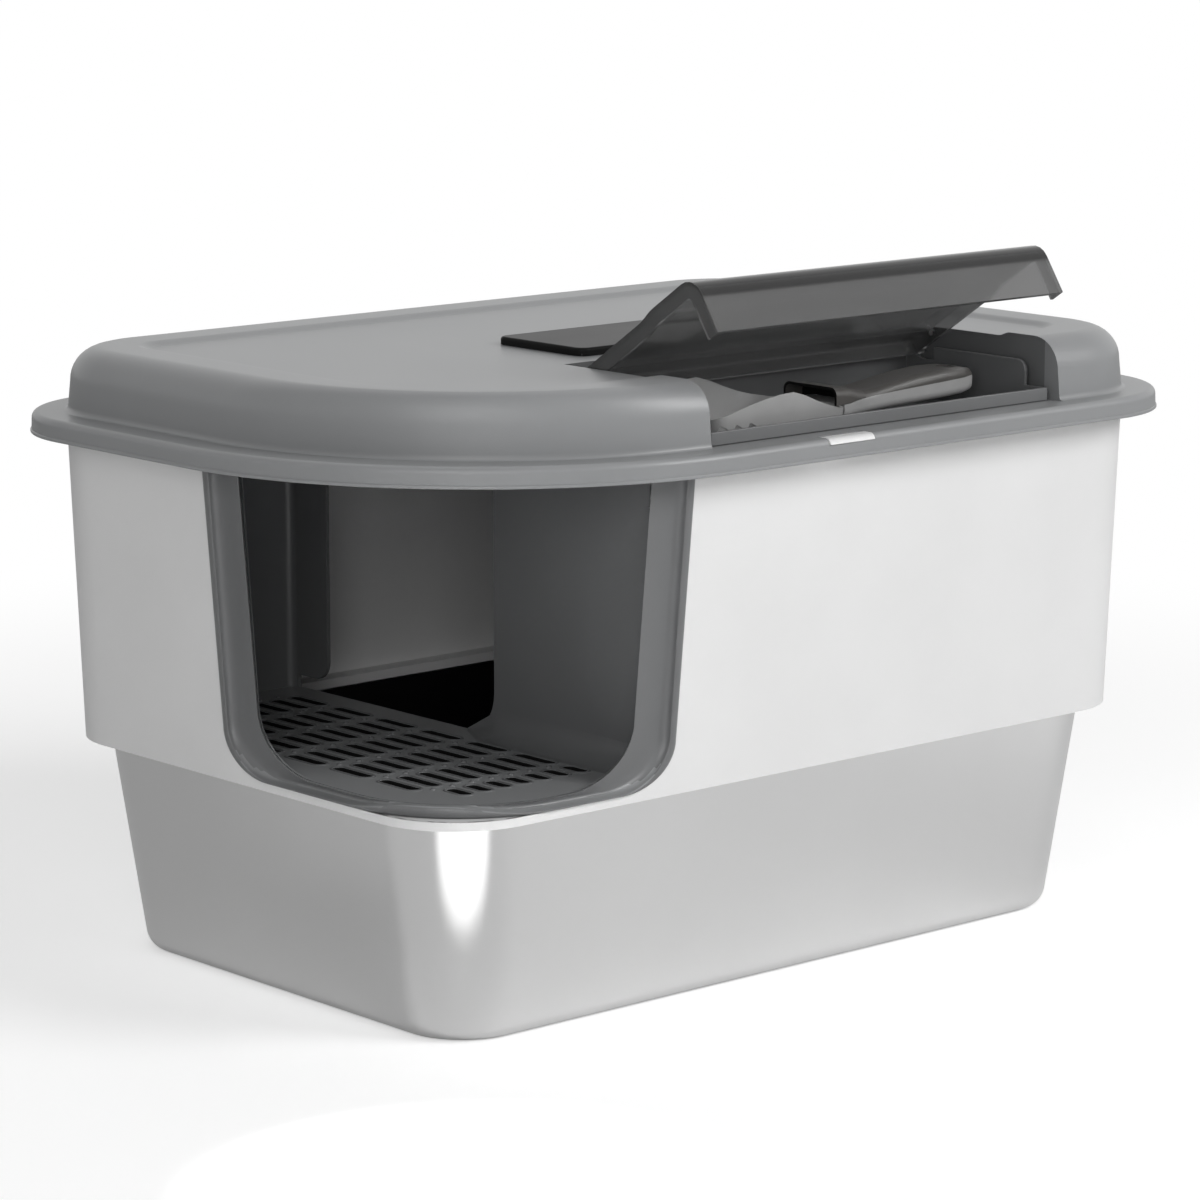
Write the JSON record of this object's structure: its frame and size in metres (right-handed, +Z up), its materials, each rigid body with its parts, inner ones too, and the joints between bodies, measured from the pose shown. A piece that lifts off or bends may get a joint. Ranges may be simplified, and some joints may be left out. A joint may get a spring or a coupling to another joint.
{
  "type": "covered litter box",
  "caption": "Covered litter box with a steel pan, an open corner entry and tunnel, a lid with a filter and a tilting flap over a scoop store.",
  "frame": {"origin": "centre of the bounding box on the floor", "axes": "+X along the long side, +Y from the front to the back, +Z up; the entry is at the corner towards -X and -Y"},
  "size_m": [0.62, 0.431, 0.4213],
  "materials": {
    "steel": "satin",
    "screw_steel": "plain",
    "seal_rubber": "matt",
    "white_plastic": "satin",
    "grey_plastic": "fine grain",
    "dark_plastic": "matt",
    "smoked_plastic": "smoked, half clear",
    "black_gloss": "gloss",
    "carbon_felt": "felt",
    "scoop_light": "satin",
    "scoop_taupe": "satin"
  },
  "bodies": {
    "pan": {"steel_pan": "steel"},
    "housing": {"enclosure": "white_plastic", "rim_seal": "seal_rubber", "entry_frame": "grey_plastic", "entry_tunnel": "grey_plastic", "frame_screws": "screw_steel", "lid": "grey_plastic", "flap_pins": "screw_steel", "latch_pins": "screw_steel", "scoop_tray": "grey_plastic"},
    "flap": {"flap": "smoked_plastic"},
    "front_latch": {"front_latch": "white_plastic"},
    "rear_latch": {"rear_latch": "white_plastic"},
    "filter": {"filter_cover": "black_gloss", "filter_tray": "dark_plastic", "carbon_filter": "carbon_felt"},
    "scoop": {"scoop_blade": "scoop_light", "scoop_collar": "scoop_taupe", "scoop_handle_upper": "scoop_taupe", "scoop_handle_lower": "scoop_light", "scoop_rivets": "screw_steel"}
  },
  "joints": [
    {"name": "housing_lift", "type": "slide", "parent": "pan", "child": "housing", "axis": [0, 0, 1], "range_m": [0, 0.15]},
    {"name": "flap_hinge", "type": "hinge", "parent": "housing", "child": "flap", "pos_m": [0.0485, -0.093, 0.3605], "axis": [-1, 0, 0], "range_deg": [-33.5, 41.5]},
    {"name": "front_latch_hinge", "type": "hinge", "parent": "housing", "child": "front_latch", "pos_m": [0, -0.2065, 0.3265], "axis": [-1, 0, 0], "range_deg": [0, 22]},
    {"name": "rear_latch_hinge", "type": "hinge", "parent": "housing", "child": "rear_latch", "pos_m": [0, 0.2065, 0.3265], "axis": [1, 0, 0], "range_deg": [0, 22]},
    {"name": "filter_lift", "type": "slide", "parent": "housing", "child": "filter", "axis": [0, 0, 1], "range_m": [0, 0.04]},
    {"name": "scoop_lift", "type": "slide", "parent": "housing", "child": "scoop", "axis": [0, -0.4384, 0.8988], "range_m": [0, 0.021]}
  ]
}
